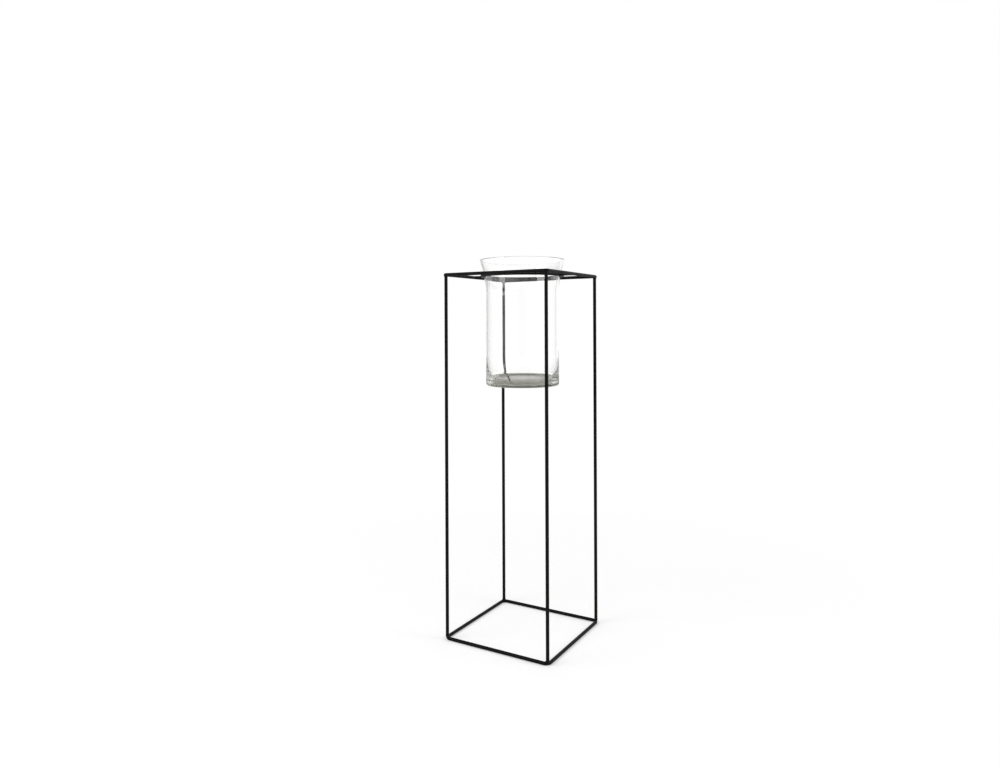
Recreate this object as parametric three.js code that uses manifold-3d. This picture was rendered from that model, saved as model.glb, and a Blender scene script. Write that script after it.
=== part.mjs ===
// A glass vase hung by its flared rim in a tall cage of bent and welded steel rod.
// Millimetres, +Z up, -Y the front. The origin is on the floor, at the middle of the cage.

import * as THREE from 'three';
import { mergeVertices } from 'three/addons/utils/BufferGeometryUtils.js';
import Module from 'manifold-3d';

// Driving dimensions: the cage
const frameHeight = 700;
const frameWidth = 225; // along X, over the rods
const frameDepth = 225; // along Y, over the rods
const rodDiameter = 6.35; // quarter-inch stock, one size for the whole cage
const baseBendRadius = 10; // at the base loop's corners, to the centre line of the rod
const topBendRadius = 4.5; // the top loop's corners are bent tighter
const uprightInset = 2.1; // from the rails' centre lines in to an upright's, along X and along Y
const buttWeldOffset = 52; // from the middle of the back rail to where a loop's two ends meet
const buttWeldLength = 5;
const buttWeldProud = 0.25;
const rootGap = 0.8; // between the two ends of a loop, filled by the butt weld
const filletLeg = 3; // how far a fillet weld climbs the rod that it holds
const filletSpread = 1.1; // how far the same weld stands out from that rod
const weldSink = 0.02; // weld faces end just inside the rod, so the two join cleanly
const copeDepth = 1.5; // how far a coped end stops from the centre line of the rod that it straddles

// Driving dimensions: the vase
const vaseHeight = 246;
const bodyDiameter = 143;
const rimDiameter = 167;
const rimAboveFrame = 28; // from the top of the cage to the top of the rim
const flareHeight = 68; // from the top of the straight body to the top of the rim
const wall = 2; // in the straight body
const lipThickness = 3.2; // the wall thickens up the flare to this at the fire-polished rim
const baseThickness = 4.5; // at the edge of the floor
const heelRadius = 5; // outside, between the body and the underside
const footRise = 52; // inside, the wall thickens down to the floor in a quarter of an oval this tall
const footRun = 14; // and this wide
const puntDiameter = 84; // hollow in the underside
const puntDepth = 3.5;
const floorRise = 3; // the inside floor swells up over the punt

// Clearances
const weldedGap = 0.3; // between two pieces that are welded or butted together
const seatGap = 0.3; // between the glass and the ring that it rests on

// How finely curves are stepped
const rodSides = 12;
const bendSteps = 6;
const ringSteps = 56;
const vaseSteps = 56;
const weldSteps = 3;
const heelSteps = 5;
const footSteps = 8;
const flareSteps = 8;
const lipSteps = 6;
const domeSteps = 5;

// Worked out from the driving dimensions
const rodRadius = rodDiameter / 2;
const railX = frameWidth / 2 - rodRadius; // centre lines of the rails
const railY = frameDepth / 2 - rodRadius;
const baseLoopZ = rodRadius;
const topLoopZ = frameHeight - rodRadius;
const uprightX = railX - uprightInset;
const uprightY = railY - uprightInset;

const bodyRadius = bodyDiameter / 2;
const rimRadius = rimDiameter / 2;
const vaseZ = frameHeight + rimAboveFrame - vaseHeight; // underside of the glass
const flareZ = vaseHeight - flareHeight; // in the vase's own frame, where the flare starts

// One circle, centred level with the flare's start, runs from the straight body out to the middle of the lip.
const lipRadius = lipThickness / 2;
const flareRun = rimRadius - bodyRadius;
const flareRise = flareHeight - lipRadius;
const flareRadius = (flareRise ** 2 + flareRun ** 2) / (2 * flareRun);
const flareAngle = Math.asin(flareRise / flareRadius);
const flareOutside = flareRadius - lipRadius;
const flareCentre = bodyRadius + flareOutside;

// The ring is as wide as lets the glass down to its place: its rod touches the outside of the flare.
const seatRise = Math.max(0, topLoopZ - (vaseZ + flareZ));
const ringRadius = flareCentre - Math.sqrt((flareOutside - rodRadius - seatGap) ** 2 - seatRise ** 2);

// Materials
const blackCoat = new THREE.MeshStandardMaterial({ color: 0x1d1b1a, roughness: 0.5, metalness: 0.1 });
const clearGlass = new THREE.MeshStandardMaterial({
  color: 0xe4ebe5,
  roughness: 0.03,
  metalness: 0,
  transparent: true,
  opacity: 0.35,
});

const wasm = await Module();
wasm.setup();

// A closed solid from a geometry: shared vertices merged, triangles that collapse at an axis dropped
function solidOf(geometry) {
  geometry.deleteAttribute('normal');
  geometry.deleteAttribute('uv');
  const merged = mergeVertices(geometry, 1e-4);
  const corners = Array.from(merged.index.array);
  const kept = [];
  for (let i = 0; i < corners.length; i += 3) {
    const [a, b, c] = corners.slice(i, i + 3);
    if (a !== b && b !== c && c !== a) kept.push(a, b, c);
  }
  const vertProperties = new Float32Array(merged.attributes.position.array);
  const triVerts = new Uint32Array(kept);
  return new wasm.Manifold(new wasm.Mesh({ numProp: 3, vertProperties, triVerts }));
}

function geometryOf(solid) {
  const mesh = solid.getMesh();
  const geometry = new THREE.BufferGeometry();
  geometry.setAttribute('position', new THREE.BufferAttribute(mesh.vertProperties, 3));
  geometry.setIndex(new THREE.BufferAttribute(mesh.triVerts, 1));
  geometry.computeVertexNormals();
  return geometry;
}

// Points on an arc in the plane of a profile, both ends included
function arc(centreX, centreY, radius, from, to, steps) {
  const points = [];
  for (let i = 0; i <= steps; i++) {
    const angle = from + ((to - from) * i) / steps;
    points.push(new THREE.Vector2(centreX + radius * Math.cos(angle), centreY + radius * Math.sin(angle)));
  }
  return points;
}

// The rod's section has a flat that faces up, down and to each side, each at the rod's true radius.
function rodSection(radius) {
  const cornerRadius = radius / Math.cos(Math.PI / rodSides);
  const points = [];
  for (let i = 0; i < rodSides; i++) {
    const angle = ((i + 0.5) / rodSides) * 2 * Math.PI;
    points.push(new THREE.Vector2(cornerRadius * Math.cos(angle), cornerRadius * Math.sin(angle)));
  }
  return points;
}

// A rod's centre line, as stations: a straight takes one step and a bend as many as it needs.
class RodPath extends THREE.Curve {
  constructor(stations) {
    super();
    this.stations = stations;
  }

  nearest(u) {
    return this.stations[Math.round(u * (this.stations.length - 1))];
  }

  getPointAt(u, target = new THREE.Vector3()) {
    return target.copy(this.nearest(u).point);
  }

  getTangentAt(u, target = new THREE.Vector3()) {
    return target.copy(this.nearest(u).direction);
  }
}

// A station in a level path, with its heading as an angle from +X
function levelStation(x, y, z, heading) {
  const direction = new THREE.Vector3(Math.cos(heading), Math.sin(heading), 0);
  return { point: new THREE.Vector3(x, y, z), direction };
}

function rodAlong(stations, radius = rodRadius) {
  const extrudePath = new RodPath(stations);
  const section = new THREE.Shape(rodSection(radius));
  return new THREE.ExtrudeGeometry(section, { steps: stations.length - 1, extrudePath, bevelEnabled: false });
}

function straightRod(from, to, radius = rodRadius) {
  const direction = to.clone().sub(from).normalize();
  return rodAlong([{ point: from, direction }, { point: to, direction }], radius);
}

// A quarter turn, anticlockwise from above, about a bend's centre
function bendStations(centreX, centreY, z, bendRadius, from) {
  const stations = [];
  for (let i = 0; i <= bendSteps; i++) {
    const angle = from + ((Math.PI / 2) * i) / bendSteps;
    const x = centreX + bendRadius * Math.cos(angle);
    const y = centreY + bendRadius * Math.sin(angle);
    stations.push(levelStation(x, y, z, angle + Math.PI / 2));
  }
  return stations;
}

// A revolve about +Z whose flats line up with the rod's, its radii measured to the flats
function revolveOnRod(profile) {
  const toCorner = 1 / Math.cos(Math.PI / rodSides);
  const points = profile.map(([radius, along]) => new THREE.Vector2(radius * toCorner, along));
  return new THREE.LatheGeometry(points, rodSides, Math.PI / rodSides).rotateX(Math.PI / 2);
}

// Fillet weld round the end of a rod that runs up +Z from the centre line of the rod it stands on.
// It is widest at that rod's crown, and its hollow face climbs to a toe just inside the rod it holds.
function filletWeld() {
  const toe = rodRadius + filletLeg;
  const profile = [[0, copeDepth], [rodRadius + filletSpread / 2, copeDepth]];
  for (let i = 0; i <= weldSteps; i++) {
    const turn = ((Math.PI / 2) * i) / weldSteps;
    const out = filletSpread * (1 - Math.sin(turn)) - weldSink;
    profile.push([rodRadius + out, toe - filletLeg * Math.cos(turn)]);
  }
  profile.push([0, toe]);
  return revolveOnRod(profile);
}

// A loop: one rod round four corners, its two ends butt welded in the back rail
function loopGeometry(bendRadius) {
  const endX = -buttWeldOffset;
  const stations = [levelStation(endX - rootGap / 2, railY, 0, Math.PI)];
  for (let corner = 0; corner < 4; corner++) {
    const from = (Math.PI / 2) * (corner + 1);
    const outward = from + Math.PI / 4;
    const centreX = Math.sign(Math.cos(outward)) * (railX - bendRadius);
    const centreY = Math.sign(Math.sin(outward)) * (railY - bendRadius);
    stations.push(...bendStations(centreX, centreY, 0, bendRadius, from));
  }
  stations.push(levelStation(endX + rootGap / 2, railY, 0, Math.PI));

  // The weld stands a little proud inside the loop, and is dressed flush above, below and outside.
  const bead = [[0, -buttWeldLength / 2]];
  for (let i = 0; i <= 2 * weldSteps; i++) {
    const turn = (Math.PI * i) / (2 * weldSteps);
    const out = buttWeldProud * (2 * Math.sin(turn) - 1);
    bead.push([rodRadius + out, (-buttWeldLength / 2) * Math.cos(turn)]);
  }
  bead.push([0, buttWeldLength / 2]);
  const weld = revolveOnRod(bead).rotateY(Math.PI / 2).translate(endX, railY, 0);
  const flush = rodDiameter - 2 * weldSink;
  const dressed = new THREE.BoxGeometry(2 * buttWeldLength, 2 * flush, flush);
  dressed.translate(endX, railY - flush / 2, 0);
  return geometryOf(solidOf(rodAlong(stations)).add(solidOf(weld).intersect(solidOf(dressed))));
}

// An upright stands on one loop's bend and under the other's, both ends coped over the rod and welded
// round. In its own frame it stands on the origin, and the cage's axis is towards -X and -Y.
function uprightGeometry() {
  const low = new THREE.Vector3(0, 0, baseLoopZ + copeDepth);
  const high = new THREE.Vector3(0, 0, topLoopZ - copeDepth);
  let upright = solidOf(straightRod(low, high));
  upright = upright.add(solidOf(filletWeld().translate(0, 0, baseLoopZ)));
  upright = upright.add(solidOf(filletWeld().rotateX(Math.PI).translate(0, 0, topLoopZ)));
  const reach = 2 * rodDiameter;
  for (const [z, bendRadius] of [[baseLoopZ, baseBendRadius], [topLoopZ, topBendRadius]]) {
    const centre = uprightInset - bendRadius;
    const corner = [levelStation(uprightInset, centre - reach, z, Math.PI / 2)];
    corner.push(...bendStations(centre, centre, z, bendRadius, 0));
    corner.push(levelStation(centre - reach, uprightInset, z, Math.PI));
    upright = upright.subtract(solidOf(rodAlong(corner, rodRadius + weldedGap)));
  }
  return geometryOf(upright);
}

// The ring's section closes on itself, and so does the revolve.
function ringGeometry(radius = rodRadius) {
  const section = rodSection(radius).map((point) => new THREE.Vector2(ringRadius + point.x, point.y));
  section.push(section[0].clone());
  return new THREE.LatheGeometry(section, ringSteps).rotateX(Math.PI / 2);
}

// A spoke runs out along +X from the ring to a rail, both ends coped over the rods and welded round.
function spokeGeometry(railDistance) {
  const inner = new THREE.Vector3(ringRadius + copeDepth, 0, 0);
  const outer = new THREE.Vector3(railDistance - copeDepth, 0, 0);
  let spoke = solidOf(straightRod(inner, outer));
  spoke = spoke.add(solidOf(filletWeld().rotateY(Math.PI / 2).translate(ringRadius, 0, 0)));
  spoke = spoke.add(solidOf(filletWeld().rotateY(-Math.PI / 2).translate(railDistance, 0, 0)));
  const reach = 2 * rodDiameter;
  const railFrom = new THREE.Vector3(railDistance, -reach, 0);
  const railTo = new THREE.Vector3(railDistance, reach, 0);
  spoke = spoke.subtract(solidOf(straightRod(railFrom, railTo, rodRadius + weldedGap)));
  spoke = spoke.subtract(solidOf(ringGeometry(rodRadius + weldedGap)));
  return geometryOf(spoke);
}

// The glass, as one closed profile from the middle of the underside round to the middle of the floor
function vaseGeometry() {
  const quarter = Math.PI / 2;
  const puntRadius = puntDiameter / 2;
  const puntSphere = (puntRadius ** 2 + puntDepth ** 2) / (2 * puntDepth);
  const puntAngle = Math.asin(puntRadius / puntSphere);
  const profile = arc(0, puntDepth - puntSphere, puntSphere, quarter, quarter - puntAngle, domeSteps);

  profile.push(...arc(bodyRadius - heelRadius, heelRadius, heelRadius, -quarter, 0, heelSteps));

  // Outside of the flare, then over the rounded lip
  const outside = arc(flareCentre, flareZ, flareOutside, Math.PI, Math.PI - flareAngle, flareSteps);
  const lipX = flareCentre - flareRadius * Math.cos(flareAngle);
  const lipZ = flareZ + flareRadius * Math.sin(flareAngle);
  const lip = arc(lipX, lipZ, lipRadius, -flareAngle, Math.PI - flareAngle, lipSteps);
  profile.push(...outside, ...lip.slice(1, -1));

  // Inside, an arc of its own runs from the lip down to the thinner wall of the body.
  const innerRadius = bodyRadius - wall;
  const top = lip[lip.length - 1];
  const run = top.x - innerRadius;
  const rise = top.y - flareZ;
  const insideFlare = (rise ** 2 + run ** 2) / (2 * run);
  const insideAngle = Math.asin(rise / insideFlare);
  const insideX = innerRadius + insideFlare;
  profile.push(...arc(insideX, flareZ, insideFlare, Math.PI - insideAngle, Math.PI, flareSteps));

  // The wall thickens down to the floor in a quarter of an oval, and the floor swells up in the middle.
  const floorEdge = innerRadius - footRun;
  for (const point of arc(0, 0, 1, 0, -quarter, footSteps)) {
    profile.push(new THREE.Vector2(floorEdge + footRun * point.x, baseThickness + footRise * (1 + point.y)));
  }
  const floorSphere = (floorEdge ** 2 + floorRise ** 2) / (2 * floorRise);
  const floorAngle = Math.asin(floorEdge / floorSphere);
  const floorCentre = baseThickness + floorRise - floorSphere;
  profile.push(...arc(0, floorCentre, floorSphere, quarter - floorAngle, quarter, domeSteps).slice(1));

  // Both ends lie on the axis exactly.
  profile[0].x = 0;
  profile[profile.length - 1].x = 0;
  return new THREE.LatheGeometry(profile, vaseSteps).rotateX(quarter);
}

function piece(name, geometry, material) {
  const mesh = new THREE.Mesh(geometry, material);
  mesh.name = name;
  return mesh;
}

// The cage
const cage = new THREE.Group();
cage.name = 'cage';

const baseLoop = piece('base_loop', loopGeometry(baseBendRadius), blackCoat);
baseLoop.position.z = baseLoopZ;
const topLoop = piece('top_loop', loopGeometry(topBendRadius), blackCoat);
topLoop.position.z = topLoopZ;
cage.add(baseLoop, topLoop);

const upright = uprightGeometry();
const corners = ['back_right', 'back_left', 'front_left', 'front_right'];
corners.forEach((corner, turn) => {
  const mesh = piece(`upright_${corner}`, upright, blackCoat);
  const outward = (Math.PI / 2) * turn + Math.PI / 4;
  mesh.position.x = Math.sign(Math.cos(outward)) * uprightX;
  mesh.position.y = Math.sign(Math.sin(outward)) * uprightY;
  mesh.rotation.z = (Math.PI / 2) * turn;
  cage.add(mesh);
});

// The ring and its spokes lie level with the top loop.
const carrier = new THREE.Group();
carrier.name = 'vase_carrier';
carrier.position.z = topLoopZ;
carrier.add(piece('vase_ring', ringGeometry(), blackCoat));
const sides = ['right', 'back', 'left', 'front'];
sides.forEach((side, turn) => {
  const mesh = piece(`spoke_${side}`, spokeGeometry(turn % 2 ? railY : railX), blackCoat);
  mesh.rotation.z = (Math.PI / 2) * turn;
  carrier.add(mesh);
});
cage.add(carrier);

// The glass
const vase = piece('glass_vase', vaseGeometry(), clearGlass);
vase.position.z = vaseZ;

const group = new THREE.Group();
group.name = 'vase_with_metal_frame';
group.add(cage, vase);

export default group;
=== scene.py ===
"""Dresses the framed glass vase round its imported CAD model.

The cage is satin black powder coat on bent and welded steel rod, and the vase is clear blown glass that
hangs in the cage's ring. Everything is in metres, in the frame of the CAD: +Z up, -Y the front.
"""

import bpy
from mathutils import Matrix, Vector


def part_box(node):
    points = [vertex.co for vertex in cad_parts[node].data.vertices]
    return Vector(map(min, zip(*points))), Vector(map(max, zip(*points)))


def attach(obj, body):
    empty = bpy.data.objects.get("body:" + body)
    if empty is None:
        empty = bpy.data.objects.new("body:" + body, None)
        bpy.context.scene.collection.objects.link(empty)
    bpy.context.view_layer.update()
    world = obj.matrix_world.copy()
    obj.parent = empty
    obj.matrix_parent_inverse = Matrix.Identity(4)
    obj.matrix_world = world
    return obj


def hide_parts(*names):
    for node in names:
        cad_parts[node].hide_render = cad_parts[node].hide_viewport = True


bl_info = {
    "name": "Framed Glass Vase",
    "version": (1, 0, 0),
    "blender": (4, 5, 0),
    "location": "3D View > Sidebar > Framed Vase",
    "description": "Makes the rods, welds, ring and blown glass of a vase that hangs in a metal cage",
    "category": "Object",
}

import math

import bmesh
import bpy
import numpy as np
from mathutils import Matrix, Vector

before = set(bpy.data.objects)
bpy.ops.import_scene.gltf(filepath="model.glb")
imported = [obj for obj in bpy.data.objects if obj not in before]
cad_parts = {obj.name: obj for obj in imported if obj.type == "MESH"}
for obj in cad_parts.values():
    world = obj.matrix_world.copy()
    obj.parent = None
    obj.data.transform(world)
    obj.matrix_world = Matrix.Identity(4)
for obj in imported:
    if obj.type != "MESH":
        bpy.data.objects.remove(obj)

MM = 0.001
CORNERS = ("back_right", "back_left", "front_left", "front_right")
SIDES = ("right", "back", "left", "front")
QUARTER = math.pi / 2
UP = np.array((0.0, 0.0, 1.0))
COAT_NAME = "black_powder_coat"


# What a user would change

class CageSizes(bpy.types.PropertyGroup):
    """Sizes of the rods and welds that the CAD boxes don't give"""

    base_bend_radius: bpy.props.FloatProperty(
        name="Base bend radius", description="Of the base loop's corners, to the rod's centre line",
        default=10 * MM, min=0.0, unit="LENGTH", precision=4,
    )
    top_bend_radius: bpy.props.FloatProperty(
        name="Top bend radius", description="Of the top loop's corners, to the rod's centre line",
        default=4.5 * MM, min=0.0, unit="LENGTH", precision=4,
    )
    upright_inset: bpy.props.FloatProperty(
        name="Upright inset", description="From the rails' centre lines in to an upright's, both ways",
        default=2.1 * MM, unit="LENGTH", precision=4,
    )
    butt_weld_offset: bpy.props.FloatProperty(
        name="Butt weld offset", description="From the middle of the back rail to where a loop's ends meet",
        default=52 * MM, unit="LENGTH", precision=4,
    )
    butt_weld_proud: bpy.props.FloatProperty(
        name="Butt weld height", description="How far the butt weld stands proud inside the loop",
        default=0.25 * MM, min=0.0, unit="LENGTH", precision=5,
    )
    fillet_leg: bpy.props.FloatProperty(
        name="Fillet weld leg", description="How far a fillet weld climbs the rod that it holds",
        default=3.0 * MM, min=0.0, unit="LENGTH", precision=4,
    )
    fillet_foot: bpy.props.FloatProperty(
        name="Fillet weld foot", description="How far a fillet weld runs out along the rod it stands on",
        default=1.6 * MM, min=0.0, unit="LENGTH", precision=4,
    )
    fillet_wrap: bpy.props.FloatProperty(
        name="Fillet weld wrap", description="How far a fillet weld wraps round the rod it stands on",
        default=math.radians(66), min=0.0, subtype="ANGLE",
    )


class GlassSizes(bpy.types.PropertyGroup):
    """Sizes of the glass that its CAD box doesn't give"""

    body_diameter: bpy.props.FloatProperty(
        name="Body diameter", description="Outside, below the flare",
        default=143 * MM, min=0.0, unit="LENGTH", precision=4,
    )
    flare_height: bpy.props.FloatProperty(
        name="Flare height", description="From the top of the straight body to the top of the rim",
        default=68 * MM, min=0.0, unit="LENGTH", precision=4,
    )
    wall: bpy.props.FloatProperty(
        name="Wall", description="In the straight body",
        default=2 * MM, min=0.0, unit="LENGTH", precision=4,
    )
    lip: bpy.props.FloatProperty(
        name="Lip", description="Thickness of the fire-polished rim",
        default=3.2 * MM, min=0.0, unit="LENGTH", precision=4,
    )
    base: bpy.props.FloatProperty(
        name="Base", description="Thickness of the base at its edge",
        default=4.5 * MM, min=0.0, unit="LENGTH", precision=4,
    )
    heel_radius: bpy.props.FloatProperty(
        name="Heel radius", description="Outside, between the body and the underside",
        default=5 * MM, min=0.0, unit="LENGTH", precision=4,
    )
    foot_rise: bpy.props.FloatProperty(
        name="Foot rise", description="Height over which the wall thickens down to the floor inside",
        default=52 * MM, min=0.0, unit="LENGTH", precision=4,
    )
    foot_run: bpy.props.FloatProperty(
        name="Foot run", description="How far in the thickening wall comes before it meets the floor",
        default=14 * MM, min=0.0, unit="LENGTH", precision=4,
    )
    punt_diameter: bpy.props.FloatProperty(
        name="Punt diameter", description="Of the hollow in the underside",
        default=84 * MM, min=0.0, unit="LENGTH", precision=4,
    )
    punt_depth: bpy.props.FloatProperty(
        name="Punt depth", description="Of the hollow in the underside",
        default=3.5 * MM, min=0.0, unit="LENGTH", precision=4,
    )
    floor_rise: bpy.props.FloatProperty(
        name="Floor rise", description="How far the inside floor swells up over the punt",
        default=3 * MM, min=0.0, unit="LENGTH", precision=4,
    )
    waviness: bpy.props.FloatProperty(
        name="Waviness", description="How far blown glass strays from a true round",
        default=0.12 * MM, min=0.0, unit="LENGTH", precision=5,
    )


class Finishes(bpy.types.PropertyGroup):
    """Colours and gloss"""

    coat_colour: bpy.props.FloatVectorProperty(
        name="Coat", description="Colour of the black powder coat", subtype="COLOR",
        default=(0.0041, 0.0038, 0.0036), min=0.0, max=1.0,
    )
    coat_worn_colour: bpy.props.FloatVectorProperty(
        name="Rubbed coat", description="Colour of the coat where glass or the floor has rubbed it",
        subtype="COLOR", default=(0.020, 0.0195, 0.019), min=0.0, max=1.0,
    )
    coat_roughness: bpy.props.FloatProperty(
        name="Coat roughness", description="Satin of the powder coat", default=0.46, min=0.0, max=1.0,
    )
    coat_sheen: bpy.props.FloatProperty(
        name="Coat sheen", description="How much light the coat mirrors, where 0.5 is plain plastic",
        default=0.12, min=0.0, max=1.0,
    )
    glass_passes: bpy.props.FloatVectorProperty(
        name="Glass tint", description="Share of light that thick glass lets through, by colour",
        subtype="COLOR", default=(0.5, 0.49, 0.42), min=0.0, max=1.0,
    )
    glass_density: bpy.props.FloatProperty(
        name="Glass density", description="How fast the tint builds up with depth, per metre",
        default=7.0, min=0.0,
    )
    # Painted shade: the foot colour goes on the base's level faces and heel, between the edges below. It is
    # partly the thick glass's own grey-green cast and partly painted shade that darkens the base.
    foot_cast_and_shade: bpy.props.FloatVectorProperty(
        name="Foot", description="Cast of the thick base", subtype="COLOR",
        default=(0.22, 0.22, 0.183), min=0.0, max=1.0,
    )
    foot_edge: bpy.props.FloatVectorProperty(
        name="Foot edge", description="Heights above the underside where the floor's cast starts to fade, "
        "and where it ends",
        size=2, default=(6 * MM, 10 * MM), unit="LENGTH", precision=4,
    )
    heel_edge: bpy.props.FloatVectorProperty(
        name="Heel edge", description="The same for the cast of the heel outside",
        size=2, default=(4 * MM, 5 * MM), unit="LENGTH", precision=4,
    )
    glass_ior: bpy.props.FloatProperty(
        name="Glass index", description="Refractive index of soda-lime glass", default=1.5, min=1.0,
    )


class StageSettings(bpy.types.PropertyGroup):
    """Camera, floor and light"""

    camera_place: bpy.props.FloatVectorProperty(
        name="Camera", description="Where the camera stands", subtype="XYZ", unit="LENGTH",
        default=(0.6952, -1.2614, 0.6033),
    )
    camera_heading: bpy.props.FloatProperty(
        name="Heading", description="Turn of the level view to the left of +Y",
        default=math.radians(30.741), subtype="ANGLE",
    )
    camera_roll: bpy.props.FloatProperty(
        name="Roll", description="Tilt of the camera about its own view line",
        default=math.radians(-0.235), subtype="ANGLE",
    )
    lens: bpy.props.FloatProperty(
        name="Lens", description="Focal length in millimetres on a 36 mm wide sensor",
        default=26.39, min=1.0,
    )
    shift: bpy.props.FloatVectorProperty(
        name="Shift", description="Lens shift that frames the view as the photograph does",
        size=2, default=(0.0017, -0.0625),
    )
    floor_size: bpy.props.FloatProperty(
        name="Floor size", description="Width of the square floor", default=14.0, min=0.0, unit="LENGTH",
    )
    floor_fade: bpy.props.FloatVectorProperty(
        name="Floor fade", description="Between these distances from the vase the floor turns plain white",
        size=2, default=(0.32, 1.0), unit="LENGTH",
    )
    floor_paleness: bpy.props.FloatProperty(
        name="Floor", description="Share of the light that the floor sends back",
        default=0.82, min=0.0, max=1.0,
    )
    room_light: bpy.props.FloatProperty(
        name="Room light", description="Strength of the even light from all round", default=0.72, min=0.0,
    )
    bounces: bpy.props.IntProperty(
        name="Light bounces", description="Enough for light to find its way out of thick glass",
        default=24, min=1,
    )
    floor_lift: bpy.props.FloatProperty(
        name="Floor lift", description="What brings the lit floor up to white", default=0.225, min=0.0,
    )
    seen_through: bpy.props.FloatProperty(
        name="Backdrop through glass", description="What makes up for the light that glass turns back",
        default=1.13, min=0.0,
    )
    reflected_room: bpy.props.FloatProperty(
        name="Reflected room", description="How bright the dark side of the room looks in glass and metal",
        default=0.2, min=0.0,
    )
    dark_side: bpy.props.FloatVectorProperty(
        name="Dark side", description="Towards the dark side of the room", subtype="DIRECTION",
        default=(-0.634, -0.774, 0.0),
    )
    reflected_floor: bpy.props.FloatProperty(
        name="Reflected floor", description="How bright the floor looks in glass and metal",
        default=0.6, min=0.0,
    )
    ceiling_light: bpy.props.FloatProperty(
        name="Ceiling", description="How bright the ceiling looks in glass and metal", default=0.3, min=0.0,
    )
    key_power: bpy.props.FloatProperty(
        name="Key light", description="Power of the large softbox at the front left",
        default=26.0, min=0.0, unit="POWER",
    )
    side_power: bpy.props.FloatProperty(
        name="Side light", description="Power of the tall softbox at the right",
        default=12.0, min=0.0, unit="POWER",
    )


# Meshes

def new_object(name, data):
    """An object of a mesh, a lamp or a camera, put into the scene."""
    thing = bpy.data.objects.new(name, data)
    bpy.context.scene.collection.objects.link(thing)
    return thing


def mesh_object(name, vertices, faces):
    """A mesh object at the origin, faces turned outwards and shaded smooth."""
    mesh = bpy.data.meshes.new(name)
    mesh.from_pydata([tuple(v) for v in vertices], [], faces)
    shape = bmesh.new()
    shape.from_mesh(mesh)
    bmesh.ops.recalc_face_normals(shape, faces=shape.faces)
    shape.to_mesh(mesh)
    shape.free()
    mesh.shade_smooth()
    return new_object(name, mesh)


def skin_rows(name, rows, poles=None):
    """A mesh through rows of points that each close on themselves.

    With poles, a point closes each end. Without, the last row joins the first.
    """
    rows = np.asarray(rows)
    count, around = rows.shape[:2]
    index = np.arange(count * around).reshape(count, around)
    faces = []
    steps = count - 1 if poles is not None else count
    for row in range(steps):
        here, there = index[row], index[(row + 1) % count]
        faces += [
            (here[i], here[(i + 1) % around], there[(i + 1) % around], there[i]) for i in range(around)
        ]
    vertices = rows.reshape(-1, 3)
    if poles is not None:
        vertices = np.vstack((vertices, poles))
        first, last = count * around, count * around + 1
        faces += [(first, index[0][(i + 1) % around], index[0][i]) for i in range(around)]
        faces += [(last, index[-1][i], index[-1][(i + 1) % around]) for i in range(around)]
    return mesh_object(name, vertices, [tuple(int(i) for i in face) for face in faces])


def mark_rubbed(piece, share):
    """Stores how rubbed each vertex is, from 0 to 1, for the coat's material."""
    attribute = piece.data.attributes.new("rubbed", "FLOAT", "POINT")
    attribute.data.foreach_set("value", np.asarray(share, np.float32))


def vertex_places(piece):
    """Where a piece's vertices are, a row for each."""
    places = np.empty(len(piece.data.vertices) * 3)
    piece.data.vertices.foreach_get("co", places)
    return places.reshape(-1, 3)


def smooth_step(low, high, value):
    """0 up to low and 1 from high on, with a smooth rise between them."""
    share = np.clip((value - low) / (high - low), 0.0, 1.0)
    return share * share * (3 - 2 * share)


def level_directions(turn):
    """Outwards at a turn from +X, and along the circle there, anticlockwise from above."""
    out = np.array((math.cos(turn), math.sin(turn), 0.0))
    return out, np.array((-out[1], out[0], 0.0))


def finish_piece(piece, material, body, node):
    """Dresses a piece, hangs it on its body and hides the CAD node that it stands in for."""
    piece.data.materials.append(material)
    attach(piece, body)
    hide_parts(node)


# Where the rods run, worked out from the CAD boxes

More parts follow.
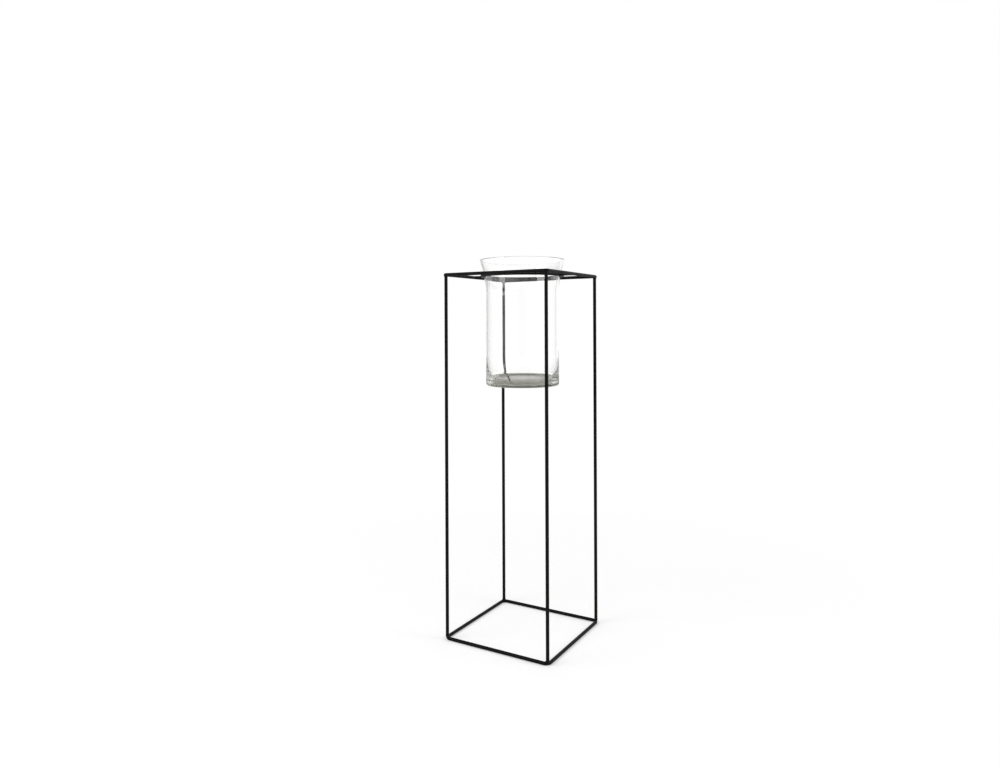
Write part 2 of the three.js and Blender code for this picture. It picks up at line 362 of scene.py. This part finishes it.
class Cage:
    """Centre lines and heights of the cage's rods."""

    def __init__(self, sizes):
        low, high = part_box("base_loop")
        top_low, top_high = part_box("top_loop")
        _, ring_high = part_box("vase_ring")
        self.rod = (high.z - low.z) / 2
        self.rail_x = high.x - self.rod
        self.rail_y = high.y - self.rod
        self.base_z = (low.z + high.z) / 2
        self.top_z = (top_low.z + top_high.z) / 2
        self.ring_radius = ring_high.y - self.rod
        self.inset = sizes.upright_inset
        self.weld_x = -sizes.butt_weld_offset

    def on_floor(self, places):
        """How much of a rubbed strip each place is in, along the line where the base loop stands."""
        starts, full = self.base_z - 0.7 * self.rod, self.base_z - self.rod
        return smooth_step(starts, full, places[:, 2])

    def on_ring(self, places):
        """The same for the strip inside the ring where the glass hangs."""
        inside = self.ring_radius - np.hypot(places[:, 0], places[:, 1])
        starts, full = 0.72 * self.rod, 0.98 * self.rod
        return smooth_step(starts, full, inside)

    def loop_line(self, height, bend):
        """Places and outward directions along a loop, from the butt weld anticlockwise from above."""
        bend_steps, straight_step = 14, 9 * MM
        weld_reach, weld_points = 4 * MM, 33
        places, outs = [], []

        def add(x, y, outward):
            places.append((x, y, height))
            outs.append(level_directions(outward)[0])

        def add_straight(start, end, outward):
            count = max(1, round(math.dist(start, end) / straight_step))
            for share in np.arange(count) / count:
                add(*(np.array(start) * (1 - share) + np.array(end) * share), outward)

        # Over the butt weld the points lie close, for its bead.
        for along in np.linspace(-weld_reach, weld_reach, weld_points):
            add(self.weld_x - along, self.rail_y, QUARTER)
        inner_x, inner_y = self.rail_x - bend, self.rail_y - bend
        start = (self.weld_x - weld_reach - straight_step / 2, self.rail_y)
        for corner in range(4):
            heading = QUARTER * (corner + 1)
            middle = heading + QUARTER / 2
            centre = (
                math.copysign(inner_x, math.cos(middle)), math.copysign(inner_y, math.sin(middle)),
            )
            turns = heading + QUARTER * np.arange(bend_steps + 1) / bend_steps
            on_bend = [
                (centre[0] + bend * math.cos(turn), centre[1] + bend * math.sin(turn)) for turn in turns
            ]
            add_straight(start, on_bend[0], heading)
            for place, turn in zip(on_bend[:-1], turns):
                add(*place, turn)
            start = on_bend[-1]
        end = (self.weld_x + weld_reach + straight_step / 2, self.rail_y)
        add_straight(start, end, QUARTER)
        return np.array(places), np.array(outs)


ROD_ANGLES = np.linspace(0, 2 * math.pi, 28, endpoint=False)


def tube_rows(places, outs, radius):
    """Rows of points round a level centre line. radius is one number or one for each point."""
    radius = np.broadcast_to(radius, (len(places), len(ROD_ANGLES)))[..., None]
    out = outs[:, None, :] * np.cos(ROD_ANGLES)[None, :, None]
    up = UP * np.sin(ROD_ANGLES)[None, :, None]
    return places[:, None, :] + radius * (out + up)


def butt_weld_bead(cage, places):
    """How high the butt weld stands at tube_rows' points, from 0 to 1. Outside it is dressed flush."""
    reach, ripple, ripple_width = 1.7 * MM, 0.2, 0.25 * MM
    from_weld = np.hypot(places[:, 0] - cage.weld_x, places[:, 1] - cage.rail_y)
    along = np.exp(-((from_weld / reach) ** 2)) * (1 + ripple * np.sin(from_weld / ripple_width))
    starts, full = 0.15, 0.8
    inside = smooth_step(starts, full, -np.cos(ROD_ANGLES))
    return along[:, None] * inside[None, :]


# Welds

WELD_POINTS = 56  # round a fillet weld
FACE_STEPS = 8  # from its foot to its toe
RIPPLES = 15  # round it
RIPPLE_HEIGHT = 0.09 * MM
SQUARE_BULGE = 0.30 * MM  # of the weld's face, where the two rods cross square
SIDE_BULGE = 0.55 * MM  # more of it where the weld fills the crevice at their sides
SIDE_CLIMB = 0.55  # share of the weld's leg that is left at the sides
KNEE_CLIMB = 0.18  # share of the leg at which the face bends most
LEAST_CROWN = 0.62  # share of the rod's radius that the toe keeps above its centre line
TUCK_DEPTH = 0.5 * MM  # of the weld's hidden edge, in the rod that it stands on
TUCK_SHARE = 0.9  # how far out that edge lies, as a share of the foot
ROD_STATIONS = 26  # along a straight rod, from weld to weld


class Landing:
    """The rod that another rod's end is welded to, seen from the weld.

    line gives the place on its centre line at a distance u from the weld, facing the direction there in
    which the welded rod stands, and side the third direction. The welded rod's own centre line passes at
    a distance offset towards that side.
    """

    def __init__(self, line, facing, side, rod, offset=0.0):
        self.line = line
        self.facing = facing
        self.side = side
        self.rod = rod
        self.offset = offset

    def axis(self):
        """Where the welded rod's centre line passes this rod's."""
        return self.line(0) + self.offset * self.side(0)

    def surface(self, u, turn, sink=0.0):
        """A point on the rod, u along it and turned from the welded rod's side of it."""
        radius = self.rod - sink
        return self.line(u) + radius * (math.cos(turn) * self.facing(u) + math.sin(turn) * self.side(u))


def bend_landing(cage, corner, height, bend, upwards):
    """The middle of a loop's corner, for the end of an upright."""
    eighth = QUARTER / 2
    middle = (2 * corner + 1) * eighth
    centre = np.array((
        math.copysign(cage.rail_x - bend, math.cos(middle)),
        math.copysign(cage.rail_y - bend, math.sin(middle)),
        height,
    ))

    def angle_at(u):
        return middle + float(np.clip(u / bend, -eighth, eighth))

    def outward(u):
        return level_directions(angle_at(u))[0]

    def line(u):
        """Round the bend, and straight on past either end of it."""
        angle = angle_at(u)
        past = u - (angle - middle) * bend
        out, along = level_directions(angle)
        return centre + bend * out + past * along

    offset = bend * (math.sqrt(2) - 1) - cage.inset * math.sqrt(2)
    return Landing(line, lambda u: upwards * UP, outward, cage.rod, offset)


def rail_landing(cage, turn, distance):
    """The middle of a top rail, for the outer end of a spoke."""
    out, along = level_directions(turn)
    middle = out * distance + UP * cage.top_z
    return Landing(lambda u: middle + u * along, lambda u: -out, lambda u: UP, cage.rod)


def ring_landing(cage, turn):
    """The outside of the ring, for the inner end of a spoke."""

    def outward(u):
        return level_directions(turn + u / cage.ring_radius)[0]

    return Landing(
        lambda u: UP * cage.top_z + cage.ring_radius * outward(u), outward, lambda u: UP, cage.rod,
    )


def hand_laid(angle, phase):
    """How high a fillet weld's ripples stand at an angle round it, and its size there as a share."""
    sway, lopsided, three_sided = 0.9, 0.10, 0.06
    ripple = RIPPLE_HEIGHT * math.sin(RIPPLES * angle + phase + sway * math.sin(2 * angle + phase))
    size = 1 + lopsided * math.sin(angle + phase) + three_sided * math.sin(3 * angle + 2 * phase)
    return ripple, size


def weld_rows(landing, along, sizes, phase):
    """Rows from under a fillet weld, over its face and up to its toe on the rod that it holds.

    The weld's foot is an oval on the rod it stands on. Its toe is a line round the rod that it holds,
    higher where the two rods cross square and lower at the sides, where the weld only fills the crevice.
    """
    rod = landing.rod
    axis = landing.axis()
    tilt = math.asin(landing.offset / rod)
    facing, side = landing.facing(0), landing.side(0)
    rows = [[] for _ in range(FACE_STEPS + 2)]
    for angle in np.linspace(0, 2 * math.pi, WELD_POINTS, endpoint=False):
        along_share, side_share = math.cos(angle), math.sin(angle)
        squareness = along_share ** 2
        ripple, size = hand_laid(angle, phase)
        u = (rod + sizes.fillet_foot * size) * along_share
        turn = sizes.fillet_wrap * side_share + tilt * squareness
        foot = landing.surface(u, turn)
        tucked = landing.surface(TUCK_SHARE * u, tilt + TUCK_SHARE * (turn - tilt), TUCK_DEPTH)
        radial = along_share * along + side_share * side
        climb = sizes.fillet_leg * size * (SIDE_CLIMB + (1 - SIDE_CLIMB) * squareness)
        crown_share = max(0.0, 1 - (landing.offset / rod + side_share) ** 2)
        crown = rod * (LEAST_CROWN ** 4 + crown_share ** 2) ** 0.25
        toe = axis + rod * radial + (crown + climb) * facing
        bulge = SQUARE_BULGE + SIDE_BULGE * (1 - squareness) + ripple
        knee = axis + (rod + bulge) * radial + (crown + KNEE_CLIMB * climb) * facing
        rows[0].append(tucked)
        for step in range(FACE_STEPS + 1):
            share = step / FACE_STEPS
            point = foot * (1 - share) ** 2 + 2 * knee * share * (1 - share) + toe * share ** 2
            rows[step + 1].append(point)
    return np.array(rows)


def welded_rod(context, node, start, end, along, phase):
    """A straight rod between two landings, with a fillet weld round each end, no two welds alike."""
    sizes, other_phase = context.scene.framed_vase_cage, phase + 2.1
    low = weld_rows(start, along, sizes, phase)
    high = weld_rows(end, along, sizes, other_phase)[::-1]
    toe_low, toe_high = low[-1], high[0]
    between = np.linspace(0, 1, ROD_STATIONS)[1:-1]
    middle = [toe_low * (1 - share) + toe_high * share for share in between]
    rows = np.concatenate((low, middle, high))
    piece = skin_rows(f"{node}_rod", rows, poles=(start.axis(), end.axis()))
    mark_rubbed(piece, np.zeros(len(piece.data.vertices)))
    finish_piece(piece, coat_material(context), "frame", node)


# Materials

def new_material(name):
    """A material with a bare shader, and what else is needed to build it up."""
    material = bpy.data.materials.new(name)
    material.use_nodes = True
    tree = material.node_tree
    tree.nodes.clear()
    output = tree.nodes.new("ShaderNodeOutputMaterial")
    shader = tree.nodes.new("ShaderNodeBsdfPrincipled")
    tree.links.new(shader.outputs["BSDF"], output.inputs["Surface"])
    return material, tree, shader, output


def object_place(tree):
    """The place on a piece, in metres."""
    return tree.nodes.new("ShaderNodeTexCoord").outputs["Object"]


def upward_part(tree, vector):
    """The Z part of a vector output."""
    node = tree.nodes.new("ShaderNodeSeparateXYZ")
    tree.links.new(vector, node.inputs["Vector"])
    return node.outputs["Z"]


def noise(tree, place, scale, detail=2.0, roughness=0.5):
    """Noise with a scale in cells for each metre."""
    node = tree.nodes.new("ShaderNodeTexNoise")
    node.inputs["Scale"].default_value = scale
    node.inputs["Detail"].default_value = detail
    node.inputs["Roughness"].default_value = roughness
    tree.links.new(place, node.inputs["Vector"])
    return node.outputs["Fac"]


def spread(tree, value, limits, to=(0.0, 1.0)):
    """A value's run between two limits, spread evenly over another range and held at its ends."""
    node = tree.nodes.new("ShaderNodeMapRange")
    node.inputs["From Min"].default_value, node.inputs["From Max"].default_value = limits
    node.inputs["To Min"].default_value, node.inputs["To Max"].default_value = to
    tree.links.new(value, node.inputs["Value"])
    return node.outputs["Result"]


def mixed_colour(tree, share, first, second):
    """Two colours mixed by share. Either may be a colour or an output."""
    node = tree.nodes.new("ShaderNodeMix")
    node.data_type = "RGBA"
    tree.links.new(share, node.inputs["Factor"])
    for colour, name in ((first, "A"), (second, "B")):
        socket = next(s for s in node.inputs if s.name == name and s.type == "RGBA")
        if isinstance(colour, bpy.types.NodeSocket):
            tree.links.new(colour, socket)
        else:
            socket.default_value = (*colour, 1.0)
    return next(s for s in node.outputs if s.type == "RGBA")


def calculated(tree, operation, first, second):
    """A sum, product or the like of two values, each a number or an output."""
    node = tree.nodes.new("ShaderNodeMath")
    node.operation = operation
    for value, socket in ((first, node.inputs[0]), (second, node.inputs[1])):
        if isinstance(value, bpy.types.NodeSocket):
            tree.links.new(value, socket)
        else:
            socket.default_value = value
    return node.outputs["Value"]


def bump(tree, height, distance, under=None):
    """The normal of a surface that height, from 0 to 1, raises by up to a distance."""
    node = tree.nodes.new("ShaderNodeBump")
    node.inputs["Distance"].default_value = distance
    tree.links.new(height, node.inputs["Height"])
    if under is not None:
        tree.links.new(under, node.inputs["Normal"])
    return node.outputs["Normal"]


def powder_coat(finishes):
    """Satin black powder coat: orange peel, a little haze, and rubbed where glass or the floor touches."""
    material, tree, shader, _ = new_material(COAT_NAME)
    place = object_place(tree)
    haze = noise(tree, place, scale=38, detail=3)
    peel = noise(tree, place, scale=620, detail=2)
    grit = noise(tree, place, scale=2600, detail=1)
    scratches = noise(tree, place, scale=900, detail=4, roughness=0.7)
    rubbed = tree.nodes.new("ShaderNodeAttribute")
    rubbed.attribute_name = "rubbed"
    scratch_edge, least_worn = (0.42, 0.62), 0.35
    scratched = spread(tree, scratches, scratch_edge, (least_worn, 1.0))
    worn = calculated(tree, "MULTIPLY", rubbed.outputs["Fac"], scratched)

    haze_paleness = 1.5
    coat = tuple(finishes.coat_colour)
    hazed = tuple(haze_paleness * part for part in coat)
    colour = mixed_colour(tree, spread(tree, haze, (0.35, 0.65)), coat, hazed)
    colour = mixed_colour(tree, worn, colour, tuple(finishes.coat_worn_colour))
    tree.links.new(colour, shader.inputs["Base Color"])

    shinier, duller, rubbed_shinier = 0.05, 0.06, 0.14
    satin = finishes.coat_roughness
    roughness = spread(tree, haze, (0.3, 0.7), (satin - shinier, satin + duller))
    polish = calculated(tree, "MULTIPLY", worn, rubbed_shinier)
    tree.links.new(calculated(tree, "SUBTRACT", roughness, polish), shader.inputs["Roughness"])
    shader.inputs["Specular IOR Level"].default_value = finishes.coat_sheen
    fine = bump(tree, grit, distance=0.006 * MM)
    tree.links.new(bump(tree, peel, distance=0.03 * MM, under=fine), shader.inputs["Normal"])
    return material


def clear_of_foot(tree, finishes, underside):
    """0 on the heel and on the level faces of the base, where its cast and painted shade go, and 1 on the
    walls and everywhere above.
    """
    height = upward_part(tree, object_place(tree))
    above_foot, above_heel = (
        spread(tree, height, (underside + low, underside + high))
        for low, high in (finishes.foot_edge, finishes.heel_edge)
    )
    facing = upward_part(tree, tree.nodes.new("ShaderNodeTexCoord").outputs["Normal"])
    levelness = calculated(tree, "MULTIPLY", facing, facing)
    slope_edge = (0.1, 0.4)
    steep = spread(tree, levelness, slope_edge, (1.0, 0.0))
    return calculated(tree, "MAXIMUM", above_foot, calculated(tree, "MULTIPLY", steep, above_heel))


def blown_glass(finishes, underside):
    """Clear glass with a faint cast where it is thick, partly its own tint and partly painted shade on the
    base, and the slow waves of a blown surface.
    """
    material, tree, shader, output = new_material("clear_blown_glass")
    clear = clear_of_foot(tree, finishes, underside)
    # Painted shade: the base's level faces and heel get a darker colour, partly the glass's own cast and
    # partly painted shade.
    tint = mixed_colour(tree, clear, tuple(finishes.foot_cast_and_shade), (1.0, 1.0, 1.0))
    tree.links.new(tint, shader.inputs["Base Color"])
    shader.inputs["Transmission Weight"].default_value = 1.0
    shader.inputs["Roughness"].default_value = 0.0
    shader.inputs["IOR"].default_value = finishes.glass_ior

    # The waves are drawn out along the axis.
    drawn_out = tree.nodes.new("ShaderNodeMapping")
    drawn_out.inputs["Scale"].default_value = (1.0, 1.0, 0.35)
    tree.links.new(object_place(tree), drawn_out.inputs["Vector"])
    waves = noise(tree, drawn_out.outputs["Vector"], scale=46, detail=0)
    tree.links.new(bump(tree, waves, distance=0.1 * MM), shader.inputs["Normal"])

    depth = tree.nodes.new("ShaderNodeVolumeAbsorption")
    depth.inputs["Color"].default_value = (*finishes.glass_passes, 1.0)
    depth.inputs["Density"].default_value = finishes.glass_density
    tree.links.new(depth.outputs["Volume"], output.inputs["Volume"])
    return material


def coat_material(context):
    """The frame's coat, made the first time that it is asked for."""
    return bpy.data.materials.get(COAT_NAME) or powder_coat(context.scene.framed_vase_finishes)


# The stage

def backdrop_strength(tree, settings, reflected):
    """How bright the backdrop is to a ray, and whether the ray sees it at all.

    The eye sees plain white, straight on and through glass. A reflection in metal or glass sees the share
    of it that reflected gives, a number or an output. Light on the object is left alone.
    """
    path = tree.nodes.new("ShaderNodeLightPath")
    through = path.outputs["Is Transmission Ray"]
    sees = calculated(tree, "MAXIMUM", path.outputs["Is Camera Ray"], path.outputs["Is Glossy Ray"])
    sees = calculated(tree, "MAXIMUM", sees, through)
    mirrored = calculated(tree, "MINIMUM", path.outputs["Glossy Depth"], 1.0)
    strength = calculated(tree, "POWER", reflected, mirrored)
    made_up = spread(tree, through, (0.0, 1.0), (1.0, settings.seen_through))
    return calculated(tree, "MULTIPLY", strength, made_up), sees


def make_camera(settings):
    """A level camera, so that upright rods stay parallel, with its picture shifted instead of tilted."""
    roll = settings.camera_roll
    right, forward = (Vector(direction) for direction in level_directions(settings.camera_heading))
    upright = right.cross(forward)
    rolled_right = right * math.cos(roll) + upright * math.sin(roll)
    rolled_up = rolled_right.cross(forward)
    lens = bpy.data.cameras.new("camera")
    lens.sensor_width = 36.0
    lens.lens = settings.lens
    lens.shift_x, lens.shift_y = settings.shift
    camera = new_object("camera", lens)
    turn = Matrix((rolled_right, rolled_up, -forward)).transposed()
    camera.matrix_world = Matrix.Translation(settings.camera_place) @ turn.to_4x4()
    bpy.context.scene.camera = camera


def make_softbox(name, place, width, height, power):
    """A lamp as wide and high as given, turned to the middle of the vase."""
    target = Vector((0.0, 0.0, 0.4))
    light = bpy.data.lights.new(name, "AREA")
    light.shape = "RECTANGLE"
    light.size, light.size_y = width, height
    light.energy = power
    aim = (target - Vector(place)).to_track_quat("-Z", "Y")
    new_object(name, light).matrix_world = Matrix.Translation(place) @ aim.to_matrix().to_4x4()


def make_room(settings):
    """White all round to the eye, with a plain light level, and a room round it for reflections.

    Behind the object the room is the white backdrop, and it darkens towards one side and the ceiling.
    """
    world = bpy.data.worlds.new("studio")
    world.use_nodes = True
    tree = world.node_tree
    tree.nodes.clear()
    output = tree.nodes.new("ShaderNodeOutputWorld")
    mix = tree.nodes.new("ShaderNodeMixShader")
    light, white = tree.nodes.new("ShaderNodeBackground"), tree.nodes.new("ShaderNodeBackground")
    light.inputs["Strength"].default_value = settings.room_light
    for shader in (light, white):
        shader.inputs["Color"].default_value = (1.0, 1.0, 1.0, 1.0)
    direction = tree.nodes.new("ShaderNodeTexCoord").outputs["Generated"]
    darkwards = tree.nodes.new("ShaderNodeVectorMath")
    darkwards.operation = "DOT_PRODUCT"
    tree.links.new(direction, darkwards.inputs[0])
    darkwards.inputs[1].default_value = settings.dark_side
    ceiling_edge, dark_edge = (0.45, 0.8), (-0.17, 0.26)
    ceiling = spread(tree, upward_part(tree, direction), ceiling_edge, (1.0, settings.ceiling_light))
    walls = spread(tree, darkwards.outputs["Value"], dark_edge, (1.0, settings.reflected_room))
    strength, sees = backdrop_strength(tree, settings, calculated(tree, "MULTIPLY", ceiling, walls))
    tree.links.new(strength, white.inputs["Strength"])
    tree.links.new(sees, mix.inputs["Fac"])
    tree.links.new(light.outputs["Background"], mix.inputs[1])
    tree.links.new(white.outputs["Background"], mix.inputs[2])
    tree.links.new(mix.outputs["Shader"], output.inputs["Surface"])
    bpy.context.scene.world = world


def floor_material(settings):
    """Pale floor that keeps the shadow near the vase and runs out to plain white."""
    material, tree, shader, output = new_material("studio_floor")
    strength, sees = backdrop_strength(tree, settings, settings.reflected_floor)
    paleness = calculated(tree, "MULTIPLY", strength, settings.floor_paleness)
    tree.links.new(paleness, shader.inputs["Base Color"])
    shader.inputs["Roughness"].default_value = 0.9
    shader.inputs["Specular IOR Level"].default_value = 0.0
    lift, far = tree.nodes.new("ShaderNodeEmission"), tree.nodes.new("ShaderNodeEmission")
    tree.links.new(strength, far.inputs["Strength"])
    lifted = calculated(tree, "MULTIPLY", strength, settings.floor_lift)
    tree.links.new(calculated(tree, "MULTIPLY", sees, lifted), lift.inputs["Strength"])
    near = tree.nodes.new("ShaderNodeAddShader")
    tree.links.new(shader.outputs["BSDF"], near.inputs[0])
    tree.links.new(lift.outputs["Emission"], near.inputs[1])
    distance = tree.nodes.new("ShaderNodeVectorMath")
    distance.operation = "LENGTH"
    tree.links.new(object_place(tree), distance.inputs[0])
    fade = spread(tree, distance.outputs["Value"], settings.floor_fade)
    mix = tree.nodes.new("ShaderNodeMixShader")
    tree.links.new(calculated(tree, "MULTIPLY", fade, sees), mix.inputs["Fac"])
    tree.links.new(near.outputs["Shader"], mix.inputs[1])
    tree.links.new(far.outputs["Emission"], mix.inputs[2])
    tree.links.new(mix.outputs["Shader"], output.inputs["Surface"])
    return material


def make_floor(settings):
    """The floor that the vase stands on in the picture."""
    half = settings.floor_size / 2
    corners = [(-half, -half, 0.0), (half, -half, 0.0), (half, half, 0.0), (-half, half, 0.0)]
    mesh = bpy.data.meshes.new("floor")
    mesh.from_pydata(corners, [], [(0, 1, 2, 3)])
    mesh.materials.append(floor_material(settings))
    floor = new_object("floor", mesh)


# Operators

class FRAMEDVASE_OT_stage(bpy.types.Operator):
    """Sets up the camera, the floor and the light"""

    bl_idname = "framed_vase.stage"
    bl_label = "Set the Stage"

    def execute(self, context):
        settings = context.scene.framed_vase_stage
        context.scene.view_settings.view_transform = "Standard"
        paths = context.scene.cycles
        paths.max_bounces = paths.glossy_bounces = paths.transmission_bounces = settings.bounces
        make_camera(settings)
        make_room(settings)
        make_floor(settings)
        make_softbox("key_softbox", (-1.5, -1.9, 2.1), width=1.5, height=1.5, power=settings.key_power)
        make_softbox("side_softbox", (2.1, 0.4, 1.5), width=0.9, height=1.6, power=settings.side_power)
        return {"FINISHED"}


class FRAMEDVASE_OT_loops(bpy.types.Operator):
    """Makes the base loop and the top loop, each one bent rod with its ends butt welded"""

    bl_idname = "framed_vase.loops"
    bl_label = "Make the Loops"

    def execute(self, context):
        sizes = context.scene.framed_vase_cage
        cage = Cage(sizes)
        loops = (
            ("base_loop", cage.base_z, sizes.base_bend_radius),
            ("top_loop", cage.top_z, sizes.top_bend_radius),
        )
        for node, height, bend in loops:
            places, outs = cage.loop_line(height, bend)
            radius = cage.rod + sizes.butt_weld_proud * butt_weld_bead(cage, places)
            piece = skin_rows(f"{node}_rod", tube_rows(places, outs, radius))
            mark_rubbed(piece, cage.on_floor(vertex_places(piece)))
            finish_piece(piece, coat_material(context), "frame", node)
        return {"FINISHED"}


class FRAMEDVASE_OT_uprights(bpy.types.Operator):
    """Makes the four uprights, welded to the middle of each loop corner"""

    bl_idname = "framed_vase.uprights"
    bl_label = "Make the Uprights"

    def execute(self, context):
        sizes = context.scene.framed_vase_cage
        cage = Cage(sizes)
        for number, corner in enumerate(CORNERS):
            foot = bend_landing(cage, number, cage.base_z, sizes.base_bend_radius, 1)
            head = bend_landing(cage, number, cage.top_z, sizes.top_bend_radius, -1)
            along = level_directions(QUARTER * number + QUARTER / 2)[1]
            welded_rod(context, f"upright_{corner}", foot, head, along, phase=1.3 * number)
        return {"FINISHED"}


class FRAMEDVASE_OT_ring(bpy.types.Operator):
    """Makes the ring that the glass hangs in"""

    bl_idname = "framed_vase.ring"
    bl_label = "Make the Ring"

    def execute(self, context):
        cage = Cage(context.scene.framed_vase_cage)
        turns = np.linspace(0, 2 * math.pi, 180, endpoint=False)
        outs = np.array([level_directions(turn)[0] for turn in turns])
        places = outs * cage.ring_radius + UP * cage.top_z
        piece = skin_rows("vase_ring_rod", tube_rows(places, outs, cage.rod))
        mark_rubbed(piece, cage.on_ring(vertex_places(piece)))
        finish_piece(piece, coat_material(context), "frame", "vase_ring")
        return {"FINISHED"}


class FRAMEDVASE_OT_spokes(bpy.types.Operator):
    """Makes the four short spokes between the ring and the top rails"""

    bl_idname = "framed_vase.spokes"
    bl_label = "Make the Spokes"

    def execute(self, context):
        cage = Cage(context.scene.framed_vase_cage)
        for number, side in enumerate(SIDES):
            turn = QUARTER * number
            distance = cage.rail_y if number % 2 else cage.rail_x
            inner, outer = ring_landing(cage, turn), rail_landing(cage, turn, distance)
            along = level_directions(turn)[1]
            welded_rod(context, f"spoke_{side}", inner, outer, along, phase=0.7 + 1.9 * number)
        return {"FINISHED"}


def arc(centre, radius, start, end, steps):
    """Points on an arc of a profile, both ends included."""
    angle = np.linspace(start, end, steps + 1)
    return np.stack((centre[0] + radius * np.cos(angle), centre[1] + radius * np.sin(angle)), 1)


def line(start, end, steps):
    """Points on a straight of a profile, without its ends."""
    share = np.linspace(0, 1, steps + 1)[1:-1, None]
    return np.array(start) * (1 - share) + np.array(end) * share


def dome(edge_radius, edge_height, rise, steps):
    """Points on a shallow dome from its middle to its edge."""
    sphere = (edge_radius ** 2 + rise ** 2) / (2 * rise)
    reach = math.asin(edge_radius / sphere)
    return arc((0.0, edge_height + rise - sphere), sphere, QUARTER, QUARTER - reach, steps)


def flare_arc(run, rise):
    """Radius and angle of the arc that starts upright and ends run further out and rise higher."""
    radius = (rise ** 2 + run ** 2) / (2 * run)
    return radius, math.asin(rise / radius)


def glass_profile(sizes, height, rim_radius):
    """The glass from the middle of its underside, up the outside, over the lip and down to the floor."""
    body, lip_radius = sizes.body_diameter / 2, sizes.lip / 2
    inner = body - sizes.wall
    flare, lean = flare_arc(rim_radius - body, sizes.flare_height - lip_radius)
    centre = (body + flare - lip_radius, height - sizes.flare_height)
    lip = (centre[0] - flare * math.cos(lean), centre[1] + flare * math.sin(lean))
    floor_edge = inner - sizes.foot_run

    punt = dome(sizes.punt_diameter / 2, 0.0, sizes.punt_depth, steps=16)[1:]
    heel_centre = (body - sizes.heel_radius, sizes.heel_radius)
    heel = arc(heel_centre, sizes.heel_radius, -QUARTER, 0, steps=14)
    outside = arc(centre, flare - lip_radius, math.pi, math.pi - lean, steps=30)
    over = arc(lip, lip_radius, -lean, math.pi - lean, steps=18)[1:]

    # Inside, an arc of its own runs from the lip down to the thinner wall of the body.
    flare, lean = flare_arc(over[-1][0] - inner, over[-1][1] - centre[1])
    inside = arc((inner + flare, centre[1]), flare, math.pi - lean, math.pi, steps=30)[1:]

    # The wall thickens down to the floor in a quarter of an oval.
    foot = arc((0.0, 1.0), 1.0, 0, -QUARTER, steps=28) * (sizes.foot_run, sizes.foot_rise)
    foot += (floor_edge, sizes.base)
    floor = dome(floor_edge, sizes.base, sizes.floor_rise, steps=16)[::-1][1:-1]
    return np.concatenate((
        punt, line(punt[-1], heel[0], steps=6), heel, line(heel[-1], outside[0], steps=48), outside,
        over, inside, line(inside[-1], foot[0], steps=36), foot, floor,
    ))


def blown_rows(profile, underside, waviness):
    """The profile turned round the axis. Slow waves draw the glass in, and fade out towards the axis."""
    # Each wave's share, its crests round the glass, where they start, and the height that turns them on.
    waves = ((1.0, 2, 0.8, 90 * MM), (0.7, 3, 2.1, -60 * MM), (0.4, 5, 0.0, 31 * MM))
    fading_radius = 60 * MM
    turns = np.linspace(0, 2 * math.pi, 160, endpoint=False)[None, :]
    radius, z = profile[:, 0][:, None], profile[:, 1][:, None]
    swell = sum(share * np.sin(crests * turns + start + z / twist) for share, crests, start, twist in waves)
    swell = swell / sum(share for share, *_ in waves)
    radius = radius + waviness * (swell - 1) / 2 * np.clip(radius / fading_radius, 0, 1)
    return np.stack((radius * np.cos(turns), radius * np.sin(turns), z + underside + 0 * turns), 2)


class FRAMEDVASE_OT_glass(bpy.types.Operator):
    """Makes the blown glass"""

    bl_idname = "framed_vase.glass"
    bl_label = "Make the Glass"

    def execute(self, context):
        sizes = context.scene.framed_vase_glass
        low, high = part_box("glass_vase")
        height, rim = high.z - low.z, (high.x - low.x) / 2
        rows = blown_rows(glass_profile(sizes, height, rim), low.z, sizes.waviness)
        poles = ((0, 0, low.z + sizes.punt_depth), (0, 0, low.z + sizes.base + sizes.floor_rise))
        piece = skin_rows("glass_vase_blown", rows, poles)
        material = blown_glass(context.scene.framed_vase_finishes, low.z)
        finish_piece(piece, material, "vase", "glass_vase")
        return {"FINISHED"}


class FRAMEDVASE_PT_panel(bpy.types.Panel):
    """Lists what can be made and the sizes and colours it is made with"""

    bl_idname = "FRAMEDVASE_PT_panel"
    bl_label = "Framed Vase"
    bl_space_type = "VIEW_3D"
    bl_region_type = "UI"
    bl_category = "Framed Vase"

    def draw(self, context):
        scene = context.scene
        groups = (
            scene.framed_vase_stage, scene.framed_vase_cage,
            scene.framed_vase_glass, scene.framed_vase_finishes,
        )
        for operator in OPERATORS:
            self.layout.operator(operator.bl_idname)
        for group in groups:
            box = self.layout.box()
            for name in group.__annotations__:
                box.prop(group, name)


GROUPS = {
    "framed_vase_stage": StageSettings,
    "framed_vase_cage": CageSizes,
    "framed_vase_glass": GlassSizes,
    "framed_vase_finishes": Finishes,
}
OPERATORS = (
    FRAMEDVASE_OT_stage, FRAMEDVASE_OT_loops, FRAMEDVASE_OT_uprights, FRAMEDVASE_OT_ring,
    FRAMEDVASE_OT_spokes, FRAMEDVASE_OT_glass,
)


def register():
    for group in GROUPS.values():
        bpy.utils.register_class(group)
    for operator in OPERATORS:
        bpy.utils.register_class(operator)
    bpy.utils.register_class(FRAMEDVASE_PT_panel)
    for name, group in GROUPS.items():
        setattr(bpy.types.Scene, name, bpy.props.PointerProperty(type=group))


def unregister():
    for name in GROUPS:
        delattr(bpy.types.Scene, name)
    bpy.utils.unregister_class(FRAMEDVASE_PT_panel)
    for operator in reversed(OPERATORS):
        bpy.utils.unregister_class(operator)
    for group in reversed(GROUPS.values()):
        bpy.utils.unregister_class(group)


def main():
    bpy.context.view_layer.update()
    register()
    bpy.ops.framed_vase.stage()
    bpy.ops.framed_vase.loops()
    bpy.ops.framed_vase.uprights()
    bpy.ops.framed_vase.ring()
    bpy.ops.framed_vase.spokes()
    bpy.ops.framed_vase.glass()


if __name__ == "__main__":
    main()
